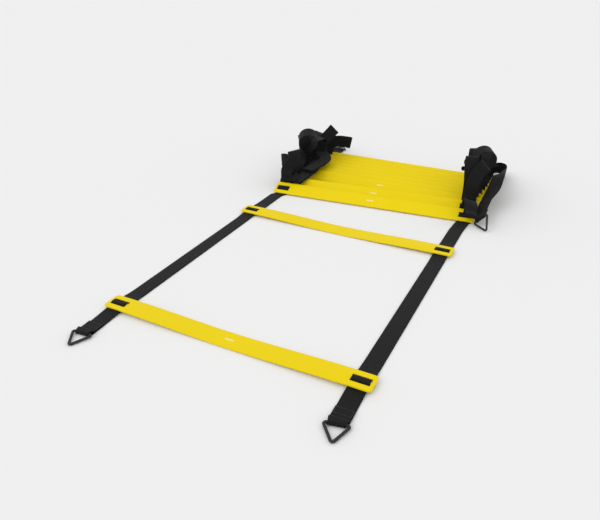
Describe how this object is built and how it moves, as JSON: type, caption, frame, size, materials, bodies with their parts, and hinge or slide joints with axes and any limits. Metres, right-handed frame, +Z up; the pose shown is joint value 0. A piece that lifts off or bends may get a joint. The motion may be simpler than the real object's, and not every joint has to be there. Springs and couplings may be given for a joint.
{
  "type": "agility ladder",
  "caption": "Training ladder of flat plastic rungs on two webbing straps: the front bays laid out, the rest gathered in a pile, with triangular wire rings at the strap ends.",
  "frame": {"origin": "centre of the bounding box in plan, on the floor that the straps lie on", "axes": "+X along the rungs to the right strap, +Y from the front rings to the pile, +Z up"},
  "size_m": [0.46, 0.9508, 0.1314],
  "materials": {
    "yellow_plastic": "satin, moulded",
    "webbing": "woven, matt",
    "ring_steel": "dark, semi-gloss"
  },
  "bodies": {
    "pile": {"rung_03": "yellow_plastic", "rung_04": "yellow_plastic", "rung_05": "yellow_plastic", "rung_06": "yellow_plastic", "rung_07": "yellow_plastic", "rung_08": "yellow_plastic", "rung_09": "yellow_plastic", "rung_10": "yellow_plastic", "rung_11": "yellow_plastic", "left_gathered_strap": "webbing", "right_gathered_strap": "webbing"},
    "rear_bay": {"left_rear_bay_strap": "webbing", "right_rear_bay_strap": "webbing"},
    "second_rung": {"rung_02": "yellow_plastic", "rung_02_left_weave": "webbing", "rung_02_right_weave": "webbing"},
    "front_bay": {"left_front_bay_strap": "webbing", "right_front_bay_strap": "webbing"},
    "first_rung": {"rung_01": "yellow_plastic", "rung_01_left_weave": "webbing", "rung_01_right_weave": "webbing"},
    "left_tab": {"left_front_tab": "webbing"},
    "right_tab": {"right_front_tab": "webbing"},
    "front_left_ring": {"front_left_ring": "ring_steel"},
    "front_right_ring": {"front_right_ring": "ring_steel"},
    "back_left_ring": {"back_left_ring": "ring_steel"},
    "back_right_ring": {"back_right_ring": "ring_steel"}
  },
  "joints": [
    {"name": "rear_bay_fold", "type": "hinge", "parent": "pile", "child": "rear_bay", "pos_m": [-0.01452, 0.10864, 0.00132], "axis": [-1, 0, 0], "range_deg": [0, 60]},
    {"name": "rung_02_slide", "type": "slide", "parent": "rear_bay", "child": "second_rung", "axis": [0, 1, 0], "range_m": [-0.004, 0.078]},
    {"name": "front_bay_fold", "type": "hinge", "parent": "rear_bay", "child": "front_bay", "pos_m": [-0.01452, -0.01224, 0.00254], "axis": [-1, 0, 0], "range_deg": [0, 80]},
    {"name": "rung_01_slide", "type": "slide", "parent": "front_bay", "child": "first_rung", "axis": [0, 1, 0], "range_m": [-0.005, 0.28]},
    {"name": "left_tab_fold", "type": "hinge", "parent": "front_bay", "child": "left_tab", "pos_m": [-0.20587, -0.39324, 0.00254], "axis": [-1, 0, 0], "range_deg": [0, 110]},
    {"name": "right_tab_fold", "type": "hinge", "parent": "front_bay", "child": "right_tab", "pos_m": [0.17683, -0.39324, 0.00254], "axis": [-1, 0, 0], "range_deg": [0, 110]},
    {"name": "front_left_ring_swing", "type": "hinge", "parent": "left_tab", "child": "front_left_ring", "pos_m": [-0.2034, -0.44729, 0.00322], "axis": [-0.9976, -0.0698, 0], "range_deg": [0, 120]},
    {"name": "front_right_ring_swing", "type": "hinge", "parent": "right_tab", "child": "front_right_ring", "pos_m": [0.18419, -0.44668, 0.00322], "axis": [-0.9781, -0.2079, 0], "range_deg": [0, 120]},
    {"name": "back_left_ring_swing", "type": "hinge", "parent": "pile", "child": "back_left_ring", "pos_m": [-0.20587, 0.44722, 0.00322], "axis": [1, 0, 0], "range_deg": [0, 55]},
    {"name": "back_right_ring_swing", "type": "hinge", "parent": "pile", "child": "back_right_ring", "pos_m": [0.21183, 0.14764, 0.01702], "axis": [0.6561, 0, 0.7547], "range_deg": [-50, 5]}
  ]
}
